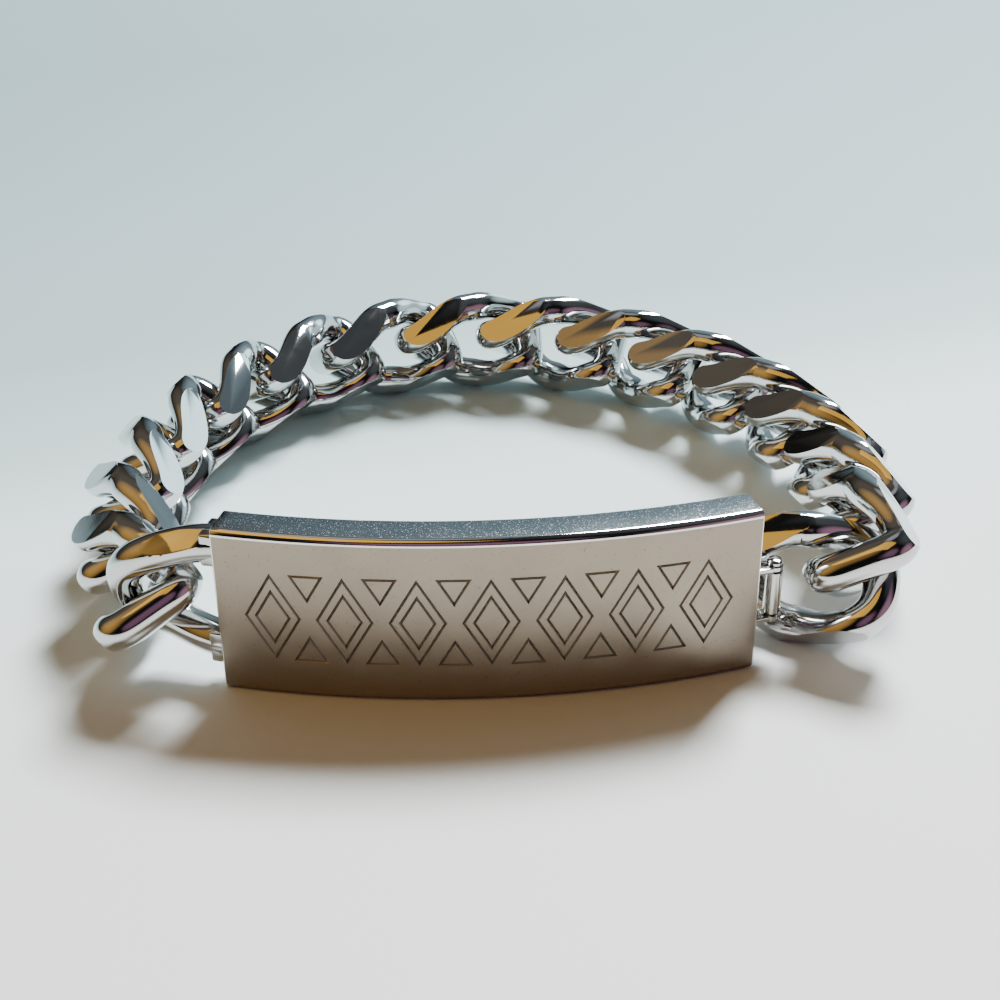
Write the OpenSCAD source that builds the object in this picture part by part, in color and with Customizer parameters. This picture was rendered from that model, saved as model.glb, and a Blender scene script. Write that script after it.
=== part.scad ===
// Identity bracelet: a curved name plate with a curb chain that closes behind its right end.
// Millimetres, +Z up, standing on its edge as it is worn. Front of the plate toward -Y.

/* [Name plate] */
// Width of the plate straight across its front
plate_w = 45; // [40:0.5:50]
// Height of the plate
plate_h = 15.5; // [15:0.1:17]
// Thickness of the plate
plate_t = 3.4; // [3.2:0.1:4]
// Radius of the plate's front face
front_r = 82; // [76:1:95]
// Rounding of the two long front edges
edge_r = 0.6; // [0.3:0.1:0.9]

/* [Engraving] */
// Number of double lozenges in the engraved band
motif_count = 7; // [5:1:7]
// Distance from one lozenge to the next
motif_pitch = 6; // [5.6:0.1:6]
// Width of one lozenge
motif_w = 4.8; // [4:0.1:5]
// Height of one lozenge
motif_h = 8.4; // [7:0.1:9]
// Width of an engraved line
line_w = 0.24; // [0.2:0.02:0.3]
// Depth of an engraved line
line_depth = 0.18; // [0.1:0.02:0.25]
// Distance between the two outlines of a lozenge
line_step = 0.75; // [0.6:0.05:0.9]

/* [Chain] */
// Wire of the chain links
wire_d = 3.25; // [3.15:0.05:3.3]
// Length of a link, in wire diameters
link_l_ratio = 5.24; // [5.2:0.02:5.28]
// Width of a link, in wire diameters
link_w_ratio = 3.45; // [3.43:0.01:3.5]
// Play between two neighbouring links, in wire diameters
play_ratio = 0.22; // [0.2:0.01:0.24]
// Twist of a link from its middle to its end
link_twist = 62; // [60:1:63]
// Squareness of a link's outline
link_square = 6; // [5.5:0.1:6.5]
// How deep the four bevels are cut, in wire diameters
bevel_ratio = 0.28; // [0.1:0.01:0.3]

/* [Ends] */
// Wire of the soldered half link and of the end ring
end_wire_d = 3.2; // [3.1:0.05:3.3]
// Reach of the soldered half link from the plate, in end wires
bow_reach_ratio = 3.2; // [3.15:0.05:3.3]
// Width of the soldered half link, in end wires
bow_w_ratio = 3.95; // [3.9:0.05:4.05]
// Twist of the soldered half link from its middle to its end
bow_twist = 20; // [16:1:24]
// How deep the soldered half link's bevels are cut, in end wires
bow_bevel_ratio = 0.1; // [0.06:0.01:0.14]
// Height of the soldered half link above the middle of the plate
bow_raise = 0.85; // [0.6:0.05:1]
// Length of the end ring, in end wires
ring_l_ratio = 5.4; // [5.35:0.05:5.5]
// Width of the end ring, in end wires
ring_w_ratio = 3.8; // [3.75:0.05:3.9]
// Twist of the end ring from its middle to its end
ring_twist = 40; // [37:1:42]
// Angle of the end ring to the plate's chord
ring_turn = -17; // [-18:0.5:-15]
// How far the end ring's middle lies past the plate's end, in end wires
ring_out_ratio = 1.38; // [1.34:0.02:1.42]

/* [Latch] */
// Diameter of the hinge pin
pin_d = 0.8; // [0.7:0.05:0.9]
// Gap around the pin in its bores
pin_gap = 0.05; // [0.03:0.01:0.08]
// Diameter of the hinge barrel
barrel_d = 1.5; // [1.4:0.05:1.6]
// Height of the hinge barrel
barrel_h = 4.2; // [3.8:0.1:4.4]
// Height of the latch tongue
tongue_h = 2.8; // [2.5:0.1:3]
// Thickness of the latch tongue
tongue_t = 0.9; // [0.8:0.05:1.1]
// Thickness of each hinge ear
ear_t = 0.5; // [0.4:0.05:0.6]
// Gap between pieces of the latch that rest on each other
latch_gap = 0.1; // [0.08:0.01:0.15]

/* [Hidden] */
$fn = 48;
steel = [0.72, 0.72, 0.71];
link_count = 15;
// Stations around a link, sides of its wire, and how much fuller than round the sides are drawn.
stations = 16;
sides = 6;
wire_fill = 1.03;
half_stations = 9;
quarter = 90;
eps = 0.01;

// Plate: its half angle, and the radius through the middle of its thickness.
half_angle = asin(plate_w / 2 / front_r);
mid_r = front_r - plate_t / 2;
back_r = front_r - plate_t;
function on_arc(r, a) = [r * sin(a), front_r - r * cos(a)];

// Chain: a twisted oval whose strands cross from one face to the other, upright along its middle.
link_l = link_l_ratio * wire_d;
link_w = link_w_ratio * wire_d;
pitch = link_l - (2 + play_ratio) * wire_d;
twist_hold = 1.5;
bow_l = 2 * bow_reach_ratio * end_wire_d;
bow_w = bow_w_ratio * end_wire_d;
bow_a = (bow_l - end_wire_d) / 2;
bow_square = 2.2;
ring_l = ring_l_ratio * end_wire_d;
ring_w = ring_w_ratio * end_wire_d;
ring_a = (ring_l - end_wire_d) / 2;
ring_square = 2.6;
ring_roll = -8;
ring_x = plate_w / 2 + ring_out_ratio * end_wire_d;
// How far a soldered foot reaches into the plate, and the solder blocks of the half link.
bury = 0.18 * plate_t;
block_l = 0.35 * end_wire_d;
block_w = 0.94 * end_wire_d;

// Where the first and last links hang in the end pieces, from the bend inward and outward.
bow_hang = 0.545 * end_wire_d;
bow_side = 0.13 * end_wire_d;
ring_hang = 0.63 * end_wire_d;
ring_side = 0.16 * end_wire_d;
// The end links are lifted by their big neighbours, less from link to link.
bow_lift = 0.44 * end_wire_d;
ring_lift = 0.98 * end_wire_d;
lift_fade = 0.56;
// Shape of the loop: how far it bellies past its ends, and the lean of its depth.
loop_belly = 25;
loop_lean = -1.8;
search_steps = 26;

function power(v, e) = sign(v) * pow(abs(v), e);
// A point of the centreline at angle u, in the link's own frame: x along, y across, z through.
function strand(u, a, b, twist, square) =
    let(x = a * power(cos(u), 2 / square), s = b * power(sin(u), 2 / square),
        th = turn_at(x / a, twist))
    [x, s * cos(th), s * sin(th)];
function turn_at(share, twist) = -twist * power(sin(quarter * share), twist_hold);
function unit(v) = v / norm(v);
// The wire's outline around the centreline point at angle u.
function around(u, a, b, twist, square, r) =
    let(step = 0.5, c = strand(u, a, b, twist, square),
        t = unit(strand(u + step, a, b, twist, square) - strand(u - step, a, b, twist, square)),
        th = turn_at(c.x / a, twist), n0 = [0, -sin(th), cos(th)],
        n = unit(n0 - (n0 * t) * t), m = cross(t, n))
    [for (k = [0 : sides - 1]) let(w = (k + 0.5) * 360 / sides)
        c + r * wire_fill * (cos(w) * n + sin(w) * m)];
// The four bevels lie at 45 degrees to the face of the link.
function bevelled(p, limit) =
    let(over = (abs(p.y) + abs(p.z)) / sqrt(2) - limit)
    over > 0 ? p - over / sqrt(2) * [0, sign(p.y), sign(p.z)] : p;
function bevel_limit(a, b, d, twist, square, bevel) =
    max([for (i = [0 : stations - 1]) let(c = strand(i * 360 / stations, a, b, twist, square))
        (abs(c.y) + abs(c.z)) / sqrt(2)]) + (0.5 - bevel) * d;
function oval(l, w, d, twist, square) =
    let(a = (l - d) / 2, b = (w - d) / 2, limit = bevel_limit(a, b, d, twist, square, bevel_ratio))
    [for (i = [0 : stations - 1]) for (p = around(i * 360 / stations, a, b, twist, square, d / 2))
        bevelled(p, limit)];
// Half of an oval, from its middle to one end, with both stubs carried back by bury.
function half_oval(l, w, d, twist, square, bury) =
    let(a = (l - d) / 2, b = (w - d) / 2, limit = bevel_limit(a, b, d, twist, square, bow_bevel_ratio),
        turn = 2 * quarter / (half_stations - 1))
    concat([for (p = around(-quarter, a, b, twist, square, d / 2)) [-bury, p.y, p.z]],
           [for (i = [0 : half_stations - 1]) for (p = around(i * turn - quarter, a, b, twist, square, d / 2))
               bevelled(p, limit)],
           [for (p = around(quarter, a, b, twist, square, d / 2)) [-bury, p.y, p.z]]);
// Places points: heading in plan, tilt of the nose, roll about the length.
function seat(points, at, heading, tilt, roll) =
    let(ex = [cos(heading) * cos(tilt), sin(heading) * cos(tilt), sin(tilt)],
        ez0 = [sin(heading), -cos(heading), 0], ey0 = cross(ez0, ex),
        ey = ey0 * cos(roll) + ez0 * sin(roll), ez = ez0 * cos(roll) - ey0 * sin(roll))
    [for (p = points) at + p.x * ex + p.y * ey + p.z * ez];

// The soldered half link, square to the plate's left end.
bow_at = on_arc(mid_r, -half_angle);
bow_z = plate_h / 2 + bow_raise;
bow_heading = 180 - half_angle;
bow_points = seat(half_oval(bow_l, bow_w, end_wire_d, bow_twist, bow_square, bury),
                  [bow_at.x, bow_at.y, bow_z], bow_heading, 0, 0);

// The latch's hinge stands off the plate's right end.
ear_reach = 1.67 * barrel_d;
hinge_in = 0.65 * plate_t;
hinge_base = on_arc(front_r - hinge_in, half_angle);
hinge = hinge_base + ear_reach * [cos(half_angle), sin(half_angle)];
bore_d = pin_d + 2 * pin_gap;
head_d = 1.7 * pin_d;
head_h = 0.6 * pin_d;
foot_h = 0.4 * pin_d;
stack_half = barrel_h / 2 + latch_gap + ear_t + head_h;

// The end ring stands on its edge, as close behind the plate and the hinge as its gap allows.
ring_gap = 0.3;
ring_raw = seat(oval(ring_l, ring_w, end_wire_d, ring_twist, ring_square), [ring_x, 0, 0],
                ring_turn, 0, ring_roll);
ring_low = min([for (p = ring_raw) p.z]);
behind_r = back_r - ring_gap;
behind_x = back_r * sin(half_angle) + ring_gap;
ring_y = max(concat(
    [for (p = ring_raw) if (p.x < behind_x) front_r - sqrt(behind_r * behind_r - p.x * p.x) - p.y],
    [for (p = ring_raw) if (abs(p.x - hinge.x) < end_wire_d && abs(p.z) < stack_half)
        hinge.y + barrel_d / 2 + ring_gap - p.y]));
ring_points = [for (p = ring_raw) p + [0, ring_y, -ring_low]];
ring_mid_z = -ring_low;

// The loop: an arc of an ellipse from the half link round to the ring, cut in equal links.
bow_dir = [cos(bow_heading), sin(bow_heading)];
bow_out = [-bow_dir.y, bow_dir.x];
ring_dir = [cos(ring_turn), sin(ring_turn)];
ring_out = [-ring_dir.y, ring_dir.x];
loop_from = bow_at + bow_dir * (bow_a - bow_hang) + bow_out * bow_side;
loop_to = [ring_x, ring_y] + ring_dir * (ring_a - ring_hang) + ring_out * ring_side;
loop_half = (loop_to - loop_from) / 2 / cos(loop_belly);
loop_depth = [sin(loop_lean), cos(loop_lean)];
function loop_point(t, b) =
    (loop_from + loop_to) / 2 - loop_half * cos(t) + loop_depth * b * (sin(t) + sin(loop_belly));
function next_t(from, b, low, high, n) =
    let(mid = (low + high) / 2)
    n == 0 ? mid
    : norm(loop_point(mid, b) - from) < pitch ? next_t(from, b, mid, high, n - 1)
    : next_t(from, b, low, mid, n - 1);
function walk(t, b, left) =
    left == 0 ? [t] : concat([t], walk(next_t(loop_point(t, b), b, t, t + quarter, search_steps), b, left - 1));
function fit_depth(low, high, n) =
    let(mid = (low + high) / 2)
    n == 0 ? mid
    : walk(-loop_belly, mid, link_count)[link_count] > 180 + loop_belly ? fit_depth(mid, high, n - 1)
    : fit_depth(low, mid, n - 1);
loop_b = fit_depth(pitch, pitch * link_count / 2, search_steps);
joints = [for (t = walk(-loop_belly, loop_b, link_count)) loop_point(t, loop_b)];
link_shape = oval(link_l, link_w, wire_d, link_twist, link_square);
link_half = max([for (p = link_shape) p.y]);
// Height of each joint: half a link above the ground, lifted towards both ends.
function joint_z(i) =
    link_half + bow_lift * pow(lift_fade, i) + ring_lift * pow(lift_fade, link_count - i);
function link_points(i) =
    let(d = joints[i + 1] - joints[i], mid = (joints[i] + joints[i + 1]) / 2,
        rise = joint_z(i + 1) - joint_z(i))
    seat(link_shape, [mid.x, mid.y, (joint_z(i) + joint_z(i + 1)) / 2], atan2(d.y, d.x),
         atan2(rise, norm(d)), 0);

// Latch: the tongue curls from the hinge round the ring's bend to the catch.
hinge_z = ring_mid_z;
arm_turn = 96;
tip_turn = 172;
tongue_gap = 0.35;
bend_reach = max([for (p = ring_points) if (p.x < hinge.x && abs(p.z - hinge_z) < tongue_h)
    norm([p.x, p.y] - hinge)]);
tongue_r = bend_reach + tongue_gap + tongue_t / 2;
catch_w = 0.75 * tongue_h;
tip_y = hinge.y + tongue_r * sin(tip_turn);
tip_x = hinge.x + tongue_r * cos(tip_turn);
catch_root = front_r - sqrt(back_r * back_r - tip_x * tip_x);

// Origin: under the middle of the whole bracelet.
all_x = concat([for (p = bow_points) p.x], [for (p = ring_points) p.x],
               [for (i = [0 : link_count - 1]) for (p = link_points(i)) p.x]);
all_y = concat([0], [for (i = [0 : link_count - 1]) for (p = link_points(i)) p.y]);
origin = [(min(all_x) + max(all_x)) / 2, (min(all_y) + max(all_y)) / 2, 0];

function loop_faces(rings) =
    [for (i = [0 : rings - 1]) for (j = [0 : sides - 1])
        let(k = (j + 1) % sides, n = (i + 1) % rings)
        each [[i * sides + j, n * sides + j, i * sides + k],
              [i * sides + k, n * sides + j, n * sides + k]]];
function open_faces(rings) =
    concat([for (i = [0 : rings - 2]) for (j = [0 : sides - 1])
        let(k = (j + 1) % sides)
        each [[i * sides + j, (i + 1) * sides + j, i * sides + k],
              [i * sides + k, (i + 1) * sides + j, (i + 1) * sides + k]]],
        [[for (j = [0 : sides - 1]) j]],
        [[for (j = [sides - 1 : -1 : 0]) (rings - 1) * sides + j]]);

module placed() translate(-origin) children();

// One motif of the band: a double lozenge, with half lozenges above and below its right side.
module lozenge_line(w, h, inset) {
    k = inset * sqrt(w * w + h * h);
    difference() {
        polygon([[0, h / 2 - k / w], [w / 2 - k / h, 0], [0, -h / 2 + k / w], [-w / 2 + k / h, 0]]);
        polygon([[0, h / 2 - k / w - line_w * k_long(w, h)], [w / 2 - k / h - line_w * k_flat(w, h), 0],
                 [0, -h / 2 + k / w + line_w * k_long(w, h)], [-w / 2 + k / h + line_w * k_flat(w, h), 0]]);
    }
}
function k_long(w, h) = sqrt(w * w + h * h) / w;
function k_flat(w, h) = sqrt(w * w + h * h) / h;

module triangle_line(w, h) {
    in_x = line_w * (k_flat(w, 2 * h) + w / 2 / h);
    difference() {
        polygon([[-w / 2, h], [w / 2, h], [0, 0]]);
        polygon([[-w / 2 + in_x, h - line_w], [w / 2 - in_x, h - line_w], [0, line_w * k_long(w, 2 * h)]]);
    }
}

module engraving() {
    fill_w = motif_w * 0.62;
    fill_h = motif_h * 0.31;
    for (i = [0 : motif_count - 1]) {
        a = (i - (motif_count - 1) / 2) * motif_pitch / front_r * 180 / PI;
        translate([0, front_r, plate_h / 2]) rotate([quarter, 0, a])
            translate([0, 0, front_r - line_depth]) linear_extrude(1) {
                lozenge_line(motif_w, motif_h, 0);
                lozenge_line(motif_w, motif_h, line_step);
                if (i < motif_count - 1) for (s = [0, 1]) mirror([0, s, 0])
                    translate([motif_pitch / 2, motif_h / 2 - fill_h]) triangle_line(fill_w, fill_h);
            }
    }
}

module plate_blank() {
    translate([0, front_r, 0]) rotate([0, 0, -quarter - half_angle])
        rotate_extrude(angle = 2 * half_angle, $fn = 96) {
            translate([back_r, 0]) square([plate_t - edge_r, plate_h]);
            translate([back_r, edge_r]) square([plate_t, plate_h - 2 * edge_r]);
            for (z = [edge_r, plate_h - edge_r]) translate([front_r - edge_r, z]) circle(edge_r);
        }
}

module hinge_ears() {
    for (z = [hinge_z - barrel_h / 2 - latch_gap - ear_t, hinge_z + barrel_h / 2 + latch_gap])
        translate([hinge.x, hinge.y, z]) rotate([0, 0, half_angle]) linear_extrude(ear_t)
            difference() {
                union() {
                    circle(barrel_d / 2);
                    translate([-ear_reach - bury, -barrel_d / 2]) square([ear_reach + bury, barrel_d]);
                }
                circle(bore_d / 2);
            }
}

module latch_catch() {
    translate([tip_x - catch_w / 2, catch_root - bury, hinge_z - tongue_h / 2])
        cube([catch_w, tip_y - latch_gap - tongue_t / 2 - catch_root + bury, tongue_h]);
}

module solder_blocks() {
    for (z = [-1, 1])
        translate([bow_at.x, bow_at.y, bow_z + z * (bow_w - end_wire_d) / 2])
            rotate([0, 0, bow_heading]) translate([-bury, -block_w / 2, -block_w / 2])
                cube([block_l + bury, block_w, block_w]);
}

module id_plate() color(steel) placed() {
    difference() {
        plate_blank();
        engraving();
    }
    polyhedron(bow_points, open_faces(half_stations + 2));
    solder_blocks();
    hinge_ears();
    latch_catch();
}

module latch_pin() color(steel) placed() {
    low = hinge_z - barrel_h / 2 - latch_gap - ear_t;
    high = hinge_z + barrel_h / 2 + latch_gap + ear_t;
    translate([hinge.x, hinge.y, low - foot_h]) cylinder(h = high - low + foot_h + eps, d = pin_d);
    translate([hinge.x, hinge.y, high + pin_gap]) cylinder(h = head_h, d = head_d);
    translate([hinge.x, hinge.y, high]) cylinder(h = head_h, d = pin_d);
    translate([hinge.x, hinge.y, low - foot_h - pin_gap]) cylinder(h = foot_h, d = head_d * 0.8);
}

module latch_tongue() color(steel) placed() translate([hinge.x, hinge.y, hinge_z - tongue_h / 2]) {
    difference() {
        union() {
            translate([0, 0, (tongue_h - barrel_h) / 2]) cylinder(h = barrel_h, d = barrel_d);
            rotate([0, 0, arm_turn]) translate([0, -tongue_t / 2, 0])
                cube([tongue_r, tongue_t, tongue_h]);
        }
        translate([0, 0, -barrel_h / 2]) cylinder(h = 2 * barrel_h, d = bore_d);
    }
    rotate([0, 0, arm_turn]) rotate_extrude(angle = tip_turn - arm_turn, $fn = 96)
        translate([tongue_r - tongue_t / 2, 0]) square([tongue_t, tongue_h]);
    rotate([0, 0, arm_turn]) translate([tongue_r, 0, 0]) cylinder(h = tongue_h, d = tongue_t);
}

module end_ring() color(steel) placed() polyhedron(ring_points, loop_faces(stations));

module link(i) color(steel) placed() polyhedron(link_points(i), loop_faces(stations));

id_plate();
latch_pin();
latch_tongue();
end_ring();
link(0);  // link_00
link(1);  // link_01
link(2);  // link_02
link(3);  // link_03
link(4);  // link_04
link(5);  // link_05
link(6);  // link_06
link(7);  // link_07
link(8);  // link_08
link(9);  // link_09
link(10);  // link_10
link(11);  // link_11
link(12);  // link_12
link(13);  // link_13
link(14);  // link_14
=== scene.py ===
"""Identity bracelet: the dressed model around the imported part, with its materials, lights and camera."""
from collections import namedtuple
from math import asin, atan2, cos, hypot, pi, radians, sin, sqrt

import bmesh
import bpy
import numpy as np
from mathutils import Matrix, Vector
from mathutils.geometry import delaunay_2d_cdt


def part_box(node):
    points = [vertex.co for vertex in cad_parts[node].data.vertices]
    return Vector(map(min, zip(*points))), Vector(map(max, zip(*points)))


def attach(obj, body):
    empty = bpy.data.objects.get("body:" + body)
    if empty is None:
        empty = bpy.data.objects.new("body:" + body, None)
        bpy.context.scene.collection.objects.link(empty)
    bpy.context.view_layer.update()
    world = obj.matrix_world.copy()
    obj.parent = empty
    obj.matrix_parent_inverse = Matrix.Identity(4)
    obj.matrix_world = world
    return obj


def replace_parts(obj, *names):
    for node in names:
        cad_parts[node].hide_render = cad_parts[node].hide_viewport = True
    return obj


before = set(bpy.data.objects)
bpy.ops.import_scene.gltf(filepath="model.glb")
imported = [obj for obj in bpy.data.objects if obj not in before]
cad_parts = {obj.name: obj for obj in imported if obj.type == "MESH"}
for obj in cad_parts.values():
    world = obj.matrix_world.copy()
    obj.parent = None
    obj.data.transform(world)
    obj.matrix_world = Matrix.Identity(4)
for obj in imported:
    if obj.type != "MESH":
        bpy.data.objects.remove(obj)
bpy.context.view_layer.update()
MM = 0.001

# Sizes are in millimetres, and where the part's source has them they are the same.

# Plate.
PLATE_W = 45.0  # straight across its front
PLATE_H = 15.5
PLATE_T = 3.4
FRONT_R = 82.0
EDGE_R = 0.6  # rounding of the two long front edges
BACK_R = FRONT_R - PLATE_T
MID_R = FRONT_R - PLATE_T / 2
HALF = asin(PLATE_W / 2 / FRONT_R)  # half of the plate's angle

# Engraved band: lozenges of two lines each, with a triangle above and below between neighbours.
MOTIFS = 7
MOTIF_PITCH = 6.0
MOTIF_W = 4.8
MOTIF_H = 8.4
FILL_W = 0.62 * MOTIF_W  # the triangles
FILL_H = 0.31 * MOTIF_H
LINE_W = 0.24
LINE_DEPTH = 0.18
LINE_STEP = 0.75  # between the two outlines of a lozenge

# Curb links. Twists are in degrees; square is the power of the link's superellipse.
WIRE = 3.25
LINK_L = 5.24 * WIRE
LINK_W = 3.45 * WIRE
PLAY = 0.22  # play between two neighbouring links, in wires
TWIST = 62.0  # from a link's middle to its end
TWIST_HOLD = 1.5  # above 1, the twist starts slowly from the middle
SQUARE = 6.0
BEVEL = 0.28  # how deep the four bevels are cut, in wires
BEVEL_STATIONS = 16  # places round a link that say how far out its bevels lie
COUNT = 15
PITCH = LINK_L - (2 + PLAY) * WIRE

# Half link soldered to the plate's left end, with its two blocks.
END_WIRE = 3.2
BOW_REACH = 3.2 * END_WIRE
BOW_W = 3.95 * END_WIRE
BOW_TWIST = 20.0
BOW_SQUARE = 2.2
BOW_BEVEL = 0.1
BOW_RAISE = 0.85  # above the middle of the plate
BOW_Z = PLATE_H / 2 + BOW_RAISE
BOW_STUB = 0.601  # how far its two ends run on into the plate
BLOCK_L = 0.35 * END_WIRE
BLOCK_W = 3.0
BLOCK_ROOT = 0.5  # how far the blocks run on into the plate
BLOCK_ROUND = 0.25

# End ring, with its turn in plan and its roll in degrees.
RING_L = 5.4 * END_WIRE
RING_W = 3.8 * END_WIRE
RING_TWIST = 40.0
RING_SQUARE = 2.6
RING_TURN = -17.0
RING_ROLL = -8.0

# Where the first and last links hang: back from the far wire of what holds them, and to its side.
BOW_HANG = 0.545 * END_WIRE
BOW_SIDE = 0.13 * END_WIRE
RING_HANG = 0.63 * END_WIRE
RING_SIDE = 0.16 * END_WIRE

# The chain's rise at its two ends, of which each link passes a share on, and its outline in plan.
BOW_LIFT = 0.44 * END_WIRE
RING_LIFT = 0.98 * END_WIRE
FADE = 0.56
BELLY = radians(25)  # how far its arc runs on past half a turn, at each end
LEAN = radians(-1.8)

# Latch. The pin, the bore and the barrel are given by their diameters.
PIN = 0.8
PIN_GAP = 0.05
BORE = PIN + 2 * PIN_GAP
BARREL = 1.5
BARREL_H = 4.2
TUBE_SOFT = 0.08  # bevel of the rims of the barrel and the eyes
EAR_REACH = 1.67 * BARREL  # from the plate's end to the pin
EAR_T = 0.5
EAR_ROOT = 0.4  # how far the ears run on into the plate
EAR_ROUND = 0.1
HINGE_IN = 0.65 * PLATE_T  # behind the front face
GAP = 0.1  # between pieces that rest on each other
TONGUE_H = 2.8
TONGUE_T = 0.9
TONGUE_ROOT = 0.12  # from the bore to the strip's start
TONGUE_BEND = 1.2
TONGUE_SOFT = 0.18  # rounding of the strip's long edges
ARM_TURN = radians(96)  # the strip's way out from the hinge
TIP_TURN = radians(172)  # where its tip lies about the hinge
CATCH_W = 0.75 * TONGUE_H
CATCH_ROOT = 0.5  # how far the catch runs on into the plate
CATCH_ROUND = 0.15

# The pin's ends as (radius, height beyond the ear's outer face), from the lowest point up.
PIN_FOOT = ((0, -0.35), (0.45, -0.32), (0.54, -0.2), (0.54, -0.06), (PIN / 2, -0.05))
PIN_HEAD = ((PIN / 2, 0.05), (0.66, 0.06), (0.67, 0.3), (0.55, 0.46), (0.3, 0.54), (0, 0.55))

# Small roundings of the plate's back edges and of its ends.
BACK_EDGE_R = 0.2
END_ROUND = 0.14

# How finely the shapes are made. Points that are nearer than a merge distance become one.
MERGE = 0.0005
CUT_MERGE = 1e-5
FLAT_MERGE = 1e-6
AXIS_R = 1e-4  # the rings at a turned solid's tips, small enough to merge into one point
KEEP_INSIDE = 1  # the triangulation's number for keeping only what lies inside its outline
SMOOTH_ANGLE = 30  # degrees between faces up to which their edge is shaded smooth
PLATE_SMOOTH_ANGLE = 24
ARC_SAMPLES = 4001
SLOPE_STEP = 1e-3
HALVINGS = 40
LINK_STATIONS = 112
WIRE_SIDES = 36
TURNED_SIDES = 48
FRONT_COLUMNS = 61
FRONT_ROWS = 15
LINE_CLEAR = 1.6 * LINE_W  # grid points nearer to a line than this are left out
EDGE_STEPS = 8
BACK_EDGE_STEPS = 3
END_STEPS = 3
BOX_STEPS = 3
ARM_STEPS = 8
BEND_STEPS = 8
TIP_STEPS = 28
TONGUE_CORNER_STEPS = 3

Link = namedtuple("Link", "length width wire twist square bevel")
CURB = Link(LINK_L, LINK_W, WIRE, TWIST, SQUARE, BEVEL)
BOW = Link(2 * BOW_REACH, BOW_W, END_WIRE, BOW_TWIST, BOW_SQUARE, BOW_BEVEL)
RING = Link(RING_L, RING_W, END_WIRE, RING_TWIST, RING_SQUARE, BEVEL)


# Places.

def direction(angle):
    """The unit vector in plan at an angle from the X axis."""
    return np.array([cos(angle), sin(angle)])


def to_left(way):
    """A vector in plan after a quarter turn to the left."""
    return np.array([-way[1], way[0]])


def on_arc(radius, angle):
    """A point in plan on an arc about the plate's centre of curvature; angle 0 is the plate's middle."""
    return np.array([radius * sin(angle), FRONT_R - radius * cos(angle)])


def middle(name):
    """The middle of a CAD node's box, in millimetres."""
    low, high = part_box(name)
    return np.array((low + high) / 2) / MM


# The plate's frame has its front's middle line at x = y = 0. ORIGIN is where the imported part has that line.
HINGE = on_arc(FRONT_R - HINGE_IN, HALF) + EAR_REACH * direction(HALF)
ORIGIN = np.array([*(middle("latch_pin")[:2] - HINGE), 0.0])
HINGE_Z = middle("latch_tongue")[2]
EARS_LOW = HINGE_Z - BARREL_H / 2 - GAP
EARS_HIGH = HINGE_Z + BARREL_H / 2 + GAP
TONGUE_REACH = HINGE[0] + ORIGIN[0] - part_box("latch_tongue")[0][0] / MM
TONGUE_R = TONGUE_REACH / -cos(TIP_TURN) - TONGUE_T / 2
BOW_AT = on_arc(MID_R, -HALF)
BOW_HEADING = pi - HALF
RING_AT = middle("end_ring") - ORIGIN
RING_HEADING = radians(RING_TURN)


# Meshes.

def finish_mesh(name, bm, finishes, body="bracelet", angle=SMOOTH_ANGLE):
    """A smooth object from a bmesh in millimetres of the plate's frame."""
    bmesh.ops.remove_doubles(bm, verts=bm.verts, dist=MERGE)
    bmesh.ops.recalc_face_normals(bm, faces=bm.faces)
    for vert in bm.verts:
        vert.co = Vector((np.array(vert.co) + ORIGIN) * MM)
    for edge in bm.edges:
        edge.smooth = len(edge.link_faces) == 2 and edge.calc_face_angle(0) < radians(angle)
    for face in bm.faces:
        face.smooth = True
    mesh = bpy.data.meshes.new(name)
    bm.to_mesh(mesh)
    bm.free()
    obj = bpy.data.objects.new(name, mesh)
    bpy.context.scene.collection.objects.link(obj)
    for finish in finishes:
        mesh.materials.append(finish)
    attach(obj, body)
    return obj


def rings_mesh(rings, closed):
    """A skin over rings of points, closed from the last ring to the first or capped at both ends."""
    bm = bmesh.new()
    rows = [[bm.verts.new(point) for point in ring] for ring in rings]
    count = len(rows[0])
    for i in range(len(rows) if closed else len(rows) - 1):
        here, there = rows[i], rows[(i + 1) % len(rows)]
        for j in range(count):
            k = (j + 1) % count
            bm.faces.new((here[j], there[j], there[k], here[k]))
    if not closed:
        bm.faces.new(rows[0])
        bm.faces.new(rows[-1][::-1])
    return bm


def turned_mesh(profile, closed):
    """A solid turned about the hinge's line from (radius, height) pairs; closed where they form a loop."""
    rings = []
    for radius, height in profile:
        ring = []
        for k in range(TURNED_SIDES):
            x, y = HINGE + max(radius, AXIS_R) * direction(2 * pi * k / TURNED_SIDES)
            ring.append((x, y, height))
        rings.append(ring)
    return rings_mesh(rings, closed)


def tube_mesh(low, high):
    """A tube about the hinge's line, as wide as the barrel, with softened rims."""
    inner, outer = BORE / 2, BARREL / 2
    lower = [(inner, low), (outer - TUBE_SOFT, low), (outer, low + TUBE_SOFT)]
    upper = [(outer, high - TUBE_SOFT), (outer - TUBE_SOFT, high), (inner, high)]
    return turned_mesh(lower + upper, True)


def make_box(name, corner, size, at, angle, finish, rounding):
    """A rounded block of the plate: corner and size in its own axes, which are then turned and moved."""
    bm = bmesh.new()
    bmesh.ops.create_cube(bm, size=1.0)
    for vert in bm.verts:
        vert.co = Vector(corner) + Vector([(c + 0.5) * s for c, s in zip(vert.co, size)])
    bmesh.ops.bevel(bm, geom=bm.edges[:], offset=rounding, segments=BOX_STEPS, profile=0.5, affect="EDGES")
    bm.transform(Matrix.Translation((*at, 0)) @ Matrix.Rotation(angle, 4, "Z"))
    finish_mesh(name, bm, [finish])


# Links.

def signed_power(values, power):
    """Each value's size to a power, with the value's own sign."""
    return np.sign(values) * np.abs(values) ** power


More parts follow.
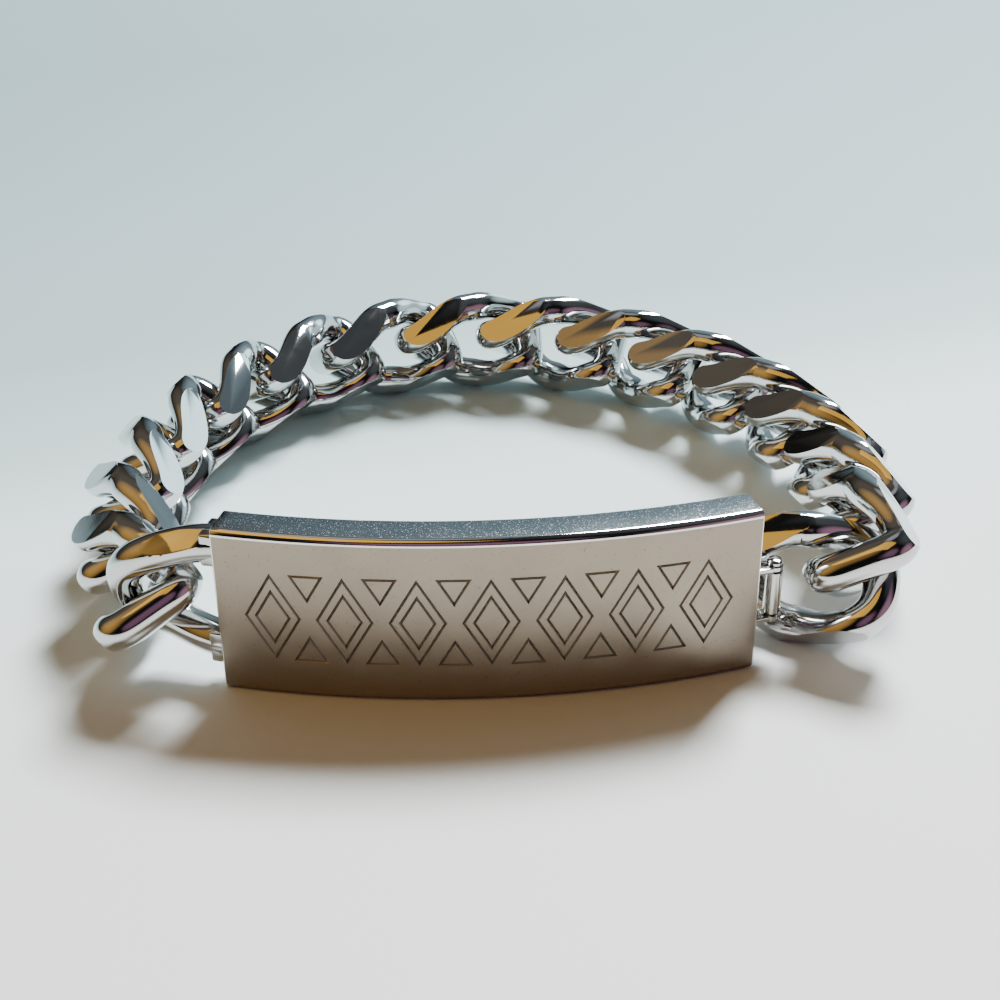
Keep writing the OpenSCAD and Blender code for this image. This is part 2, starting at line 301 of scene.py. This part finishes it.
def turn_at(share, twist):
    """How far a link is turned at a share of its half length: not in the middle, fully at its ends."""
    wave = np.sin(pi / 2 * np.clip(share, -1, 1))
    return -twist * signed_power(wave, TWIST_HOLD)


def strand(angles, half_l, half_w, twist, square):
    """The middle line of a link's wire: a superellipse that is twisted about its length."""
    x = half_l * signed_power(np.cos(angles), 2 / square)
    side = half_w * signed_power(np.sin(angles), 2 / square)
    turn = turn_at(x / half_l, twist)
    return np.stack([x, side * np.cos(turn), side * np.sin(turn)], -1)


def even_angles(half_l, half_w, square, count, low, high):
    """Angles that share a superellipse out evenly along its length."""
    angles = np.linspace(low, high, ARC_SAMPLES)
    points = strand(angles, half_l, half_w, 0.0, square)
    run = np.concatenate([[0], np.cumsum(np.linalg.norm(np.diff(points, axis=0), axis=1))])
    return np.interp(np.linspace(0, run[-1], count), run, angles)


def wire_rings(angles, half_l, half_w, twist, square, radius):
    """Rings of points round the wire, square to it and turned with the link's twist."""
    shape = (half_l, half_w, twist, square)
    centres = strand(angles, *shape)
    along = strand(angles + SLOPE_STEP, *shape) - strand(angles - SLOPE_STEP, *shape)
    along /= np.linalg.norm(along, axis=1)[:, None]
    turn = turn_at(centres[:, 0] / half_l, twist)
    across = np.stack([np.zeros_like(turn), -np.sin(turn), np.cos(turn)], -1)
    across -= (across * along).sum(1)[:, None] * along
    across /= np.linalg.norm(across, axis=1)[:, None]
    aside = np.cross(along, across)
    around = np.linspace(0, 2 * pi, WIRE_SIDES, endpoint=False)[None, :, None]
    offsets = np.cos(around) * across[:, None] + np.sin(around) * aside[:, None]
    return centres[:, None] + radius * offsets


def cut_bevels(bm, limit):
    """Four flats at 45 degrees to the link's face, at a distance from its middle."""
    for sy in (1, -1):
        for sz in (1, -1):
            normal = Vector((0, sy, sz)).normalized()
            parts = bm.verts[:] + bm.edges[:] + bm.faces[:]
            cut = bmesh.ops.bisect_plane(bm, geom=parts, dist=CUT_MERGE, plane_co=normal * limit,
                                         plane_no=normal, clear_outer=True)
            edges = [part for part in cut["geom_cut"] if isinstance(part, bmesh.types.BMEdge)]
            rim = [edge for edge in edges if edge.is_boundary]
            if rim:
                bmesh.ops.edgeloop_fill(bm, edges=rim)


def link_bmesh(link, half=False):
    """A link with its length along X and its width along Y, or the half towards +X with two short stubs."""
    half_l, half_w = (link.length - link.wire) / 2, (link.width - link.wire) / 2
    shape = (half_l, half_w, radians(link.twist), link.square)
    if half:
        angles = even_angles(half_l, half_w, link.square, LINK_STATIONS // 2, -pi / 2, pi / 2)
    else:
        angles = even_angles(half_l, half_w, link.square, LINK_STATIONS + 1, 0, 2 * pi)[:-1]
    rings = wire_rings(angles, *shape, link.wire / 2)
    if half:
        stub = [BOW_STUB, 0, 0]
        rings = np.concatenate([[rings[0] - stub], rings, [rings[-1] - stub]])
    bm = rings_mesh(rings, not half)
    stations = strand(np.arange(BEVEL_STATIONS) * 2 * pi / BEVEL_STATIONS, *shape)
    reach = (np.abs(stations[:, 1]) + np.abs(stations[:, 2])).max() / sqrt(2)
    cut_bevels(bm, reach + (0.5 - link.bevel) * link.wire)
    return bm


def seat(bm, at, heading, tilt=0.0, roll=0.0):
    """Stands a link on edge at a place, with its length along the heading, tilted up and rolled."""
    along = np.array([cos(heading) * cos(tilt), sin(heading) * cos(tilt), sin(tilt)])
    level = np.array([sin(heading), -cos(heading), 0])
    upright = np.cross(level, along)
    up = upright * cos(roll) + level * sin(roll)
    out = level * cos(roll) - upright * sin(roll)
    place = Matrix.Identity(4)
    for column, axis in enumerate((along, up, out, np.array(at))):
        for row in range(3):
            place[row][column] = axis[row]
    bm.transform(place)
    return bm


def halve(low, high, holds):
    """The value between low and high up to which a test holds."""
    for _ in range(HALVINGS):
        mid = (low + high) / 2
        if holds(mid):
            low = mid
        else:
            high = mid
    return low


def chain_ends():
    """Where the first link hangs in the half link, and the last one in the ring."""
    bow_way, bow_a = direction(BOW_HEADING), BOW_REACH - END_WIRE / 2
    ring_way, ring_a = direction(RING_HEADING), (RING_L - END_WIRE) / 2
    start = BOW_AT + bow_way * (bow_a - BOW_HANG) + to_left(bow_way) * BOW_SIDE
    end = RING_AT[:2] + ring_way * (ring_a - RING_HANG) + to_left(ring_way) * RING_SIDE
    return start, end


def joints():
    """Where neighbouring links meet: equal steps round an arc of an ellipse between the chain's ends."""
    start, end = chain_ends()
    half = (end - start) / 2 / cos(BELLY)
    inward = np.array([sin(LEAN), cos(LEAN)])

    def point(angle, depth):
        return (start + end) / 2 - half * cos(angle) + inward * depth * (sin(angle) + sin(BELLY))

    def walk(depth):
        angle, found = -BELLY, [point(-BELLY, depth)]
        for _ in range(COUNT):
            last = found[-1]
            angle = halve(angle, angle + pi / 2, lambda a: np.linalg.norm(point(a, depth) - last) < PITCH)
            found.append(point(angle, depth))
        return angle, np.array(found)

    depth = halve(PITCH, PITCH * COUNT / 2, lambda d: walk(d)[0] > pi + BELLY)
    return walk(depth)[1]


# Shaders.

# The mix node's sockets go by number, since those of each kind share their names: first, second, output.
MIX_FACTOR = 0
MIX_SOCKETS = {"FLOAT": (2, 3, 0), "RGBA": (6, 7, 2)}
EVEN = (1, 1, 1)

# Cloud varies the polish, grain is the fine unevenness, and flecks are spots. Scales are per millimetre.
CLOUD_SCALE = 0.35
CLOUD_DETAIL = 4
CLOUD_ROUGHNESS = 0.5
CLOUD_START = 0.3
CLOUD_FULL = 0.7
FINE_DETAIL = 3
FINE_ROUGHNESS = 0.6
FLECK_FADE = 0.05
Fleck = namedtuple("Fleck", "scale start roughness color")


def principled(name, color, roughness, metallic=1.0):
    """A new material, with its node tree and its main shader."""
    material = bpy.data.materials.new(name)
    material.use_nodes = True
    tree = material.node_tree
    shader = next(n for n in tree.nodes if n.type == "BSDF_PRINCIPLED")
    shader.inputs["Base Color"].default_value = (*color, 1)
    shader.inputs["Roughness"].default_value = roughness
    shader.inputs["Metallic"].default_value = metallic
    return material, tree, shader


def node(tree, kind, **values):
    """A new node. Each value goes to its setting of that name or, where it has none, to that input."""
    new = tree.nodes.new(kind)
    for key, value in values.items():
        if hasattr(new, key):
            setattr(new, key, value)
        else:
            new.inputs[key].default_value = value
    return new


def grey(value):
    """A colour without hue, for a ramp whose output is used as a number."""
    return (value, value, value)


def ramp(tree, source, stops):
    """Colours that blend from stop to stop, each a (position, colour), as the source rises."""
    new = tree.nodes.new("ShaderNodeValToRGB")
    elements = new.color_ramp.elements
    while len(elements) < len(stops):
        elements.new(0.5)
    for element, (position, color) in zip(elements, stops):
        element.position = position
        element.color = (*color, 1)
    tree.links.new(source, new.inputs["Fac"])
    return new.outputs["Color"]


def mixed(tree, kind, factor, first, second, blend="MIX"):
    """First and second mixed by a factor; each is a socket or a plain value."""
    first_in, second_in, out = MIX_SOCKETS[kind]
    new = node(tree, "ShaderNodeMix", data_type=kind, blend_type=blend)
    tree.links.new(factor, new.inputs[MIX_FACTOR])
    for number, value in ((first_in, first), (second_in, second)):
        if isinstance(value, bpy.types.NodeSocket):
            tree.links.new(value, new.inputs[number])
        else:
            new.inputs[number].default_value = value
    return new.outputs[out]


def dot_product(tree, source, way):
    """How far a vector reaches along a way."""
    new = node(tree, "ShaderNodeVectorMath", operation="DOT_PRODUCT")
    tree.links.new(source, new.inputs[0])
    new.inputs[1].default_value = way
    return new.outputs["Value"]


def noise(tree, scale, detail=FINE_DETAIL, roughness=FINE_ROUGHNESS, stretch=EVEN):
    """Noise in the object's own millimetres."""
    coord = tree.nodes.new("ShaderNodeTexCoord")
    mapping = node(tree, "ShaderNodeMapping", Scale=[s / MM for s in stretch])
    tree.links.new(coord.outputs["Object"], mapping.inputs["Vector"])
    new = node(tree, "ShaderNodeTexNoise", Scale=scale, Detail=detail, Roughness=roughness)
    tree.links.new(mapping.outputs["Vector"], new.inputs["Vector"])
    return new.outputs["Fac"]


def bump(tree, shader, height, depth):
    """Tilts the shader's normals by a height map that is depth millimetres deep."""
    new = node(tree, "ShaderNodeBump", Strength=1.0, Distance=depth * MM)
    tree.links.new(height, new.inputs["Height"])
    tree.links.new(new.outputs["Normal"], shader.inputs["Normal"])


def steel(name, color, polish, grain, grain_depth, fleck=None, stretch=EVEN):
    """Steel whose roughness drifts between the two of polish, with a grain and, where asked, flecks."""
    material, tree, shader = principled(name, color, polish[0])
    cloud = noise(tree, CLOUD_SCALE, CLOUD_DETAIL, CLOUD_ROUGHNESS)
    rough = ramp(tree, cloud, [(CLOUD_START, grey(polish[0])), (CLOUD_FULL, grey(polish[1]))])
    if fleck:
        stops = [(fleck.start, grey(0.0)), (fleck.start + FLECK_FADE, grey(1.0))]
        spots = ramp(tree, noise(tree, fleck.scale), stops)
        rough = mixed(tree, "FLOAT", spots, rough, fleck.roughness)
        tint = mixed(tree, "RGBA", spots, (*color, 1), (*fleck.color, 1))
        tree.links.new(tint, shader.inputs["Base Color"])
    tree.links.new(rough, shader.inputs["Roughness"])
    bump(tree, shader, noise(tree, grain, stretch=stretch), grain_depth)
    return material


# Finishes.

CHAIN = steel("chain_polished", (0.58, 0.58, 0.575), polish=(0.05, 0.12), grain=1.1, grain_depth=0.002)
# Painted shade, in part: the front's steel colour is set darker and browner than the steel, for the front's
# dim golden-brown tone; its satin polish, grain and flecks are its own.
FRONT_SATIN_PAINTED_SHADE = steel("plate_front_satin_painted_shade", (0.305, 0.255, 0.205), polish=(0.30, 0.37), grain=7.0, grain_depth=0.006,
              fleck=Fleck(scale=5.0, start=0.64, roughness=0.50, color=(0.20, 0.17, 0.14)))
TOP = steel("plate_top", (0.50, 0.52, 0.53), polish=(0.08, 0.15), grain=8.0, grain_depth=0.003,
            fleck=Fleck(scale=9.5, start=0.61, roughness=0.34, color=(0.76, 0.78, 0.78)),
            stretch=(0.35, 1, 1))
EDGE = steel("plate_edge", (0.82, 0.80, 0.76), polish=(0.05, 0.10), grain=2.0, grain_depth=0.001)
BACK = steel("plate_back", (0.70, 0.69, 0.67), polish=(0.20, 0.32), grain=4.0, grain_depth=0.004,
             stretch=(0.1, 1, 1))
GROOVE = steel("groove", (0.30, 0.26, 0.22), polish=(0.35, 0.5), grain=9.0, grain_depth=0.01)
LATCH = steel("latch_steel", (0.60, 0.59, 0.56), polish=(0.09, 0.16), grain=3.0, grain_depth=0.002)

# The plate's finishes, and the number of each on its faces.
PLATE_FINISHES = [FRONT_SATIN_PAINTED_SHADE, GROOVE, EDGE, TOP, BACK]
ON_FRONT, ON_LINE, ON_EDGE, ON_TOP, ON_BACK = range(5)


# Plate.

def set_in(outline, inset):
    """A closed outline moved inwards, with its corners kept sharp."""
    moved = []
    for i, point in enumerate(outline):
        before, after = outline[i - 1], outline[(i + 1) % len(outline)]
        first = to_left((point - before) / np.linalg.norm(point - before))
        second = to_left((after - point) / np.linalg.norm(after - point))
        moved.append(point + (first + second) / (1 + first @ second) * inset)
    return moved


def band_shapes():
    """The band's outlines on the unrolled front, each with how far its line is set in."""
    mid = PLATE_H / 2
    low, top = mid - MOTIF_H / 2, mid + MOTIF_H / 2
    shapes = []
    for i in range(MOTIFS):
        s = (i - (MOTIFS - 1) / 2) * MOTIF_PITCH
        lozenge = np.array([(s, low), (s + MOTIF_W / 2, mid), (s, top), (s - MOTIF_W / 2, mid)])
        shapes += [(lozenge, 0.0), (lozenge, LINE_STEP)]
        if i < MOTIFS - 1:
            x = s + MOTIF_PITCH / 2
            upper = np.array([(x, top - FILL_H), (x + FILL_W / 2, top), (x - FILL_W / 2, top)])
            lower = np.array([(across, PLATE_H - height) for across, height in upper[::-1]])
            shapes += [(upper, 0.0), (lower, 0.0)]
    return shapes


def band_lines():
    """The outer, bottom and inner loop of each engraved line."""
    lines = []
    for outline, inset in band_shapes():
        lines.append([set_in(outline, inset + share * LINE_W) for share in (0, 0.5, 1)])
    return lines


def front_layout(columns, heights):
    """Points of the unrolled front, their depths, and the edges that its triangles have to keep."""
    points, depths, edges, starts, ends = [], [], [], [], []

    def add_loop(loop, depth):
        first, count = len(points), len(loop)
        points.extend(Vector(point) for point in loop)
        depths.extend([depth] * count)
        edges.extend((first + i, first + (i + 1) % count) for i in range(count))

    rim = [(s, heights[0]) for s in columns]
    rim += [(columns[-1], z) for z in heights[1:-1]]
    rim += [(s, heights[-1]) for s in columns[::-1]]
    rim += [(columns[0], z) for z in heights[-2:0:-1]]
    add_loop(rim, 0.0)
    for outer, bottom, inner in band_lines():
        add_loop(outer, 0.0)
        add_loop(bottom, LINE_DEPTH)
        add_loop(inner, 0.0)
        starts += bottom[-1:] + bottom[:-1]
        ends += bottom
    starts, spans = np.array(starts), np.array(ends) - np.array(starts)

    def to_nearest_line(point):
        share = np.clip(((point - starts) * spans).sum(1) / (spans * spans).sum(1), 0, 1)
        return np.linalg.norm(point - starts - share[:, None] * spans, axis=1).min()

    for s in columns[1:-1]:
        for z in heights[1:-1]:
            if to_nearest_line(np.array([s, z])) > LINE_CLEAR:
                points.append(Vector((s, z)))
                depths.append(0.0)
    return points, depths, edges


def plate_vert(bm, along, radius, height):
    """A new vertex at a distance along the unrolled front and a radius."""
    return bm.verts.new((*on_arc(radius, along / FRONT_R), height))


def add_front(bm, columns, heights):
    """The front face, with its engraved lines as V-shaped grooves."""
    points, depths, edges = front_layout(columns, heights)
    found, _, triangles, sources, _, _ = delaunay_2d_cdt(points, edges, [], KEEP_INSIDE, FLAT_MERGE)
    depth = [max((depths[k] for k in source), default=0.0) for source in sources]
    verts = [plate_vert(bm, point.x, FRONT_R - deep, point.y) for point, deep in zip(found, depth)]
    for triangle in triangles:
        face = bm.faces.new([verts[k] for k in triangle])
        face.material_index = ON_LINE if any(depth[k] > 0 for k in triangle) else ON_FRONT


def section(inset, heights):
    """The plate's cross-section, drawn in by inset, as (radius, height, finish).

    The finish is that of the face that starts at the point, or None where add_front makes it.
    """
    corners = (
        (FRONT_R - EDGE_R, PLATE_H - EDGE_R, EDGE_R, EDGE_STEPS, ON_EDGE, ON_TOP),
        (BACK_R + BACK_EDGE_R, PLATE_H - BACK_EDGE_R, BACK_EDGE_R, BACK_EDGE_STEPS, ON_BACK, ON_BACK),
        (BACK_R + BACK_EDGE_R, BACK_EDGE_R, BACK_EDGE_R, BACK_EDGE_STEPS, ON_BACK, ON_TOP),
        # The bottom rounding takes the front's dark finish, not the bright edge's: painted shade for the
        # contact shadow under the plate.
        (FRONT_R - EDGE_R, EDGE_R, EDGE_R, EDGE_STEPS, ON_FRONT, None),
    )
    points = [(FRONT_R - inset, height, None) for height in heights[1:-1]]
    for quarter, (radius, height, size, steps, finish, next_finish) in enumerate(corners):
        for k in range(steps + 1):
            out, up = (size - inset) * direction(pi / 2 * (quarter + k / steps))
            points.append((radius + out, height + up, finish if k < steps else next_finish))
    return points


def add_sides(bm, columns, heights):
    """The plate's top, back and bottom, and both ends with a small rounding."""
    stations = [(s, 0.0) for s in columns]
    for k in range(1, END_STEPS + 1):
        turn = pi / 2 * k / END_STEPS
        out, inset = END_ROUND * sin(turn), END_ROUND * (1 - cos(turn))
        stations.append((columns[-1] + out, inset))
        stations.insert(0, (columns[0] - out, inset))
    rows = []
    for s, inset in stations:
        rows.append([plate_vert(bm, s, radius, height) for radius, height, _ in section(inset, heights)])
    finishes = [finish for _, _, finish in section(0.0, heights)]
    for i in range(len(rows) - 1):
        at_end = i < END_STEPS or i >= len(rows) - 1 - END_STEPS
        for j, finish in enumerate(finishes):
            k = (j + 1) % len(finishes)
            if at_end or finish is not None:
                face = bm.faces.new((rows[i][j], rows[i + 1][j], rows[i + 1][k], rows[i][k]))
                face.material_index = ON_EDGE if at_end else finish
    for row in (rows[0], rows[-1][::-1]):
        bm.faces.new(row).material_index = ON_BACK


def make_plate():
    """The curved plate, made on columns along the unrolled front and heights up it."""
    reach = FRONT_R * HALF - END_ROUND
    columns = list(np.linspace(-reach, reach, FRONT_COLUMNS))
    heights = list(np.linspace(EDGE_R, PLATE_H - EDGE_R, FRONT_ROWS))
    bm = bmesh.new()
    add_front(bm, columns, heights)
    add_sides(bm, columns, heights)
    plate = finish_mesh("plate", bm, PLATE_FINISHES, angle=PLATE_SMOOTH_ANGLE)
    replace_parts(plate, "id_plate")


# Chain.

def make_half_link():
    """The soldered half link and the two blocks that it is soldered by."""
    bm = seat(link_bmesh(BOW, half=True), (*BOW_AT, BOW_Z), BOW_HEADING)
    finish_mesh("half_link", bm, [CHAIN])
    for word, way in (("lower", -1), ("upper", 1)):
        low = BOW_Z + way * (BOW_W - END_WIRE) / 2 - BLOCK_W / 2
        size = (BLOCK_L + BLOCK_ROOT, BLOCK_W, BLOCK_W)
        make_box("solder_" + word, (-BLOCK_ROOT, -BLOCK_W / 2, low), size, BOW_AT, BOW_HEADING, CHAIN,
                 BLOCK_ROUND)


def make_ring():
    """The larger ring that the latch holds."""
    bm = seat(link_bmesh(RING), RING_AT, RING_HEADING, roll=radians(RING_ROLL))
    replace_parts(finish_mesh("ring", bm, [CHAIN]), "end_ring")


def make_links():
    """The curb links, tilted as the chain rises towards the half link and towards the ring."""
    ends = joints()
    lift = [BOW_LIFT * FADE ** i + RING_LIFT * FADE ** (COUNT - i) for i in range(COUNT + 1)]
    for i in range(COUNT):
        name = "link_%02d" % i
        step, rise = ends[i + 1] - ends[i], lift[i + 1] - lift[i]
        at = (*(ends[i] + step / 2), middle(name)[2])
        bm = seat(link_bmesh(CURB), at, atan2(step[1], step[0]), tilt=atan2(rise, hypot(*step)))
        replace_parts(finish_mesh("curb_" + name, bm, [CHAIN]), name)


# Latch.

def make_ears():
    """Two ears on the plate's right end, each a short arm with an eye round the pin."""
    for word, low in (("lower", EARS_LOW - EAR_T), ("upper", EARS_HIGH)):
        make_box("ear_" + word, (-EAR_REACH - EAR_ROOT, -BARREL / 2, low), (EAR_REACH, BARREL, EAR_T),
                 HINGE, HALF, LATCH, EAR_ROUND)
        finish_mesh("eye_" + word, tube_mesh(low, low + EAR_T), [LATCH])


def make_pin():
    """The hinge's pin, with a small foot and the head that shows above the plate's end."""
    foot = [(radius, EARS_LOW - EAR_T + height) for radius, height in PIN_FOOT]
    head = [(radius, EARS_HIGH + EAR_T + height) for radius, height in PIN_HEAD]
    bm = turned_mesh(foot + head, False)
    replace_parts(finish_mesh("pin", bm, [LATCH]), "latch_pin")


def tongue_path():
    """The strip's middle line about the hinge: straight out of the barrel, round a bend, then an arc."""
    out = direction(ARM_TURN)
    side = to_left(out)
    path = [reach * out for reach in np.linspace(BORE / 2 + TONGUE_ROOT, TONGUE_R - TONGUE_BEND, ARM_STEPS)]
    start = path[-1]
    for k in range(1, BEND_STEPS + 1):
        angle = pi / 2 * k / BEND_STEPS
        path.append(start + TONGUE_BEND * (out * sin(angle) + side * (1 - cos(angle))))
    for angle in np.linspace(ARM_TURN + TONGUE_BEND / TONGUE_R, TIP_TURN, TIP_STEPS)[1:]:
        path.append(TONGUE_R * direction(angle))
    return np.array(path)


def tongue_section():
    """The strip's cross-section as (across, up), a rectangle with rounded corners."""
    points = []
    for quarter, (sx, sz) in enumerate(((1, 1), (-1, 1), (-1, -1), (1, -1))):
        corner = np.array([sx * (TONGUE_T / 2 - TONGUE_SOFT), sz * (TONGUE_H / 2 - TONGUE_SOFT)])
        for k in range(TONGUE_CORNER_STEPS + 1):
            points.append(corner + TONGUE_SOFT * direction(pi / 2 * (quarter + k / TONGUE_CORNER_STEPS)))
    return points


def make_tongue():
    """The moving part: the barrel on the pin, and the bent strip."""
    barrel = tube_mesh(HINGE_Z - BARREL_H / 2, HINGE_Z + BARREL_H / 2)
    finish_mesh("tongue_barrel", barrel, [LATCH], "latch")
    path = tongue_path()
    along = np.gradient(path, axis=0)
    along /= np.linalg.norm(along, axis=1)[:, None]
    outline = tongue_section()
    rings = []
    for point, way in zip(path, along):
        centre, side = HINGE + point, to_left(way)
        rings.append([(*(centre + side * across), HINGE_Z + up) for across, up in outline])
    strip = finish_mesh("tongue", rings_mesh(rings, False), [LATCH], "latch")
    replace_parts(strip, "latch_tongue")


def make_catch():
    """The block on the plate's back that the tongue's tip closes on."""
    tip = HINGE + TONGUE_R * direction(TIP_TURN)
    root = FRONT_R - sqrt(BACK_R ** 2 - tip[0] ** 2) - CATCH_ROOT
    reach = tip[1] - GAP - TONGUE_T / 2 - root
    make_box("catch", (-CATCH_W / 2, root, HINGE_Z - TONGUE_H / 2), (CATCH_W, reach, TONGUE_H),
             (tip[0], 0), 0, LATCH, CATCH_ROUND)


# Floor, lights and camera.

# Sizes and distances here are in metres. The floor's painted shades run along a way, from near the viewer to
# far: pale and warm in front, darker and cooler behind, standing in for the light falling off.
FLOOR_SIZE = 4.0
FLOOR_ROUGHNESS = 0.7
FLOOR_WAY = (-0.26, 0.97, 0.0)
FLOOR_NEAR = -0.09
FLOOR_FAR = 0.19
# Painted shade: the floor's colour darkens and cools further back, where the light falls off.
FLOOR_PAINTED_FALLOFF = (
    (0.0, (0.84, 0.83, 0.79)),
    (0.21, (0.80, 0.83, 0.81)),
    (0.34, (0.70, 0.82, 0.83)),
    (0.41, (0.46, 0.58, 0.58)),
    (0.50, (0.33, 0.44, 0.46)),
    (0.75, (0.26, 0.36, 0.40)),
    (1.0, (0.22, 0.31, 0.34)),
)

# The dark room's shades, from the horizon up.
ROOM_SHADES = (
    (0.0, (0.010, 0.009, 0.008)),
    (0.25, (0.006, 0.007, 0.008)),
    (0.6, (0.008, 0.009, 0.010)),
    (1.0, (0.010, 0.010, 0.010)),
)

# Soft glows in the room: a direction, the cosines where the glow starts and is full, and its tint.
Glow = namedtuple("Glow", "toward start full tint")
GLOWS = (
    Glow((0.45, 0.80, 0.42), 0.75, 1.0, (0.34, 0.48, 0.56)),
    Glow((0.60, 0.70, 0.38), 0.96, 0.99, (1.8, 2.5, 2.7)),
    Glow((0.85, 0.40, 0.22), 0.92, 0.985, (0.8, 1.0, 1.05)),
    Glow((-0.85, -0.15, 0.45), 0.80, 1.0, (0.66, 0.36, 0.08)),
    Glow((0.75, -0.62, 0.18), 0.88, 0.98, (0.40, 0.21, 0.31)),
    Glow((-0.05, -0.90, 0.42), 0.93, 0.985, (0.22, 0.10, 0.17)),
    Glow((-0.15, 0.30, 0.94), 0.97, 0.99, (0.35, 0.38, 0.42)),
    Glow((-0.62, 0.42, 0.66), 0.70, 0.98, (0.13, 0.11, 0.085)),
    Glow((0.58, -0.05, 0.81), 0.82, 0.98, (0.075, 0.085, 0.095)),
)

# The lights' places and sizes are in metres. All of them aim at a point just above the floor.
AIM = (0, 0, 0.005)
Light = namedtuple("Light", "name at size power color")
LIGHTS = (
    Light("key_window", at=(0.27, 0.50, 0.70), size=(0.28, 0.28), power=27, color=(0.93, 0.98, 1.0)),
    Light("warm_lamp", at=(-0.28, -0.22, 0.75), size=(0.60, 0.42), power=0.85, color=(1.0, 0.55, 0.09)),
)

# The camera: its angles in degrees, its place from the foot of the plate's middle, its sensor and its lens
# in millimetres, and in metres the distance nearer than which nothing shows.
CAMERA_PITCH = 29.4
CAMERA_YAW = 2.61
CAMERA_ROLL = 0.61
CAMERA_HEIGHT = 80.2
CAMERA_DISTANCE = 108.3
CAMERA_ASIDE = 0.78
SENSOR = 36.0
LENS = 57.6
CLIP_START = 0.005


def make_floor():
    """A matt sheet that is pale near the viewer and darker behind: painted shade for the light falling off.
    """
    material, tree, shader = principled("floor_paper", FLOOR_PAINTED_FALLOFF[0][1], FLOOR_ROUGHNESS, metallic=0.0)
    coord = tree.nodes.new("ShaderNodeTexCoord")
    away = dot_product(tree, coord.outputs["Object"], FLOOR_WAY)
    span = node(tree, "ShaderNodeMapRange")
    span.inputs["From Min"].default_value = FLOOR_NEAR
    span.inputs["From Max"].default_value = FLOOR_FAR
    tree.links.new(away, span.inputs["Value"])
    tree.links.new(ramp(tree, span.outputs["Result"], FLOOR_PAINTED_FALLOFF), shader.inputs["Base Color"])
    bpy.ops.mesh.primitive_plane_add(size=FLOOR_SIZE)
    floor = bpy.context.object
    floor.name = "floor"
    floor.data.materials.append(material)


def make_world():
    """The dark room with its glows, which show only as reflections and soft light."""
    world = bpy.data.worlds.new("room")
    bpy.context.scene.world = world
    world.use_nodes = True
    tree = world.node_tree
    background = next(n for n in tree.nodes if n.type == "BACKGROUND")
    way = tree.nodes.new("ShaderNodeTexCoord").outputs["Generated"]
    parts = tree.nodes.new("ShaderNodeSeparateXYZ")
    tree.links.new(way, parts.inputs["Vector"])
    color = ramp(tree, parts.outputs["Z"], ROOM_SHADES)
    for glow in GLOWS:
        near = dot_product(tree, way, Vector(glow.toward).normalized())
        share = ramp(tree, near, [(glow.start, grey(0.0)), (glow.full, grey(1.0))])
        color = mixed(tree, "RGBA", share, color, (*glow.tint, 1), blend="ADD")
    tree.links.new(color, background.inputs["Color"])
    background.inputs["Strength"].default_value = 1.0


def make_lights():
    """The window and the lamp, as soft rectangles."""
    for light in LIGHTS:
        data = bpy.data.lights.new(light.name, "AREA")
        data.shape = "RECTANGLE"
        data.size, data.size_y = light.size
        data.energy = light.power
        data.color = light.color
        obj = bpy.data.objects.new(light.name, data)
        obj.location = light.at
        obj.rotation_euler = (Vector(AIM) - Vector(light.at)).to_track_quat("-Z", "Y").to_euler()
        bpy.context.scene.collection.objects.link(obj)


def make_camera():
    """The camera, which looks down at the plate from the photograph's place."""
    pitch, yaw, roll = radians(CAMERA_PITCH), radians(CAMERA_YAW), radians(CAMERA_ROLL)
    right = Vector((cos(yaw), -sin(yaw), 0))
    ahead = Vector((sin(yaw), cos(yaw), 0))
    forward = ahead * cos(pitch) + Vector((0, 0, -sin(pitch)))
    up = ahead * sin(pitch) + Vector((0, 0, cos(pitch)))
    x_axis, y_axis = right * cos(roll) - up * sin(roll), right * sin(roll) + up * cos(roll)
    data = bpy.data.cameras.new("camera")
    data.sensor_width = SENSOR
    data.lens = LENS
    data.clip_start = CLIP_START
    camera = bpy.data.objects.new("camera", data)
    place = Matrix((x_axis, y_axis, -forward)).transposed().to_4x4()
    x = CAMERA_ASIDE * cos(yaw) - CAMERA_DISTANCE * sin(yaw)
    y = -CAMERA_ASIDE * sin(yaw) - CAMERA_DISTANCE * cos(yaw)
    place.translation = Vector((np.array([x, y, CAMERA_HEIGHT]) + ORIGIN) * MM)
    camera.matrix_world = place
    bpy.context.scene.collection.objects.link(camera)
    bpy.context.scene.camera = camera


make_plate()
make_half_link()
make_ring()
make_links()
make_ears()
make_pin()
make_tongue()
make_catch()
make_floor()
make_world()
make_lights()
make_camera()
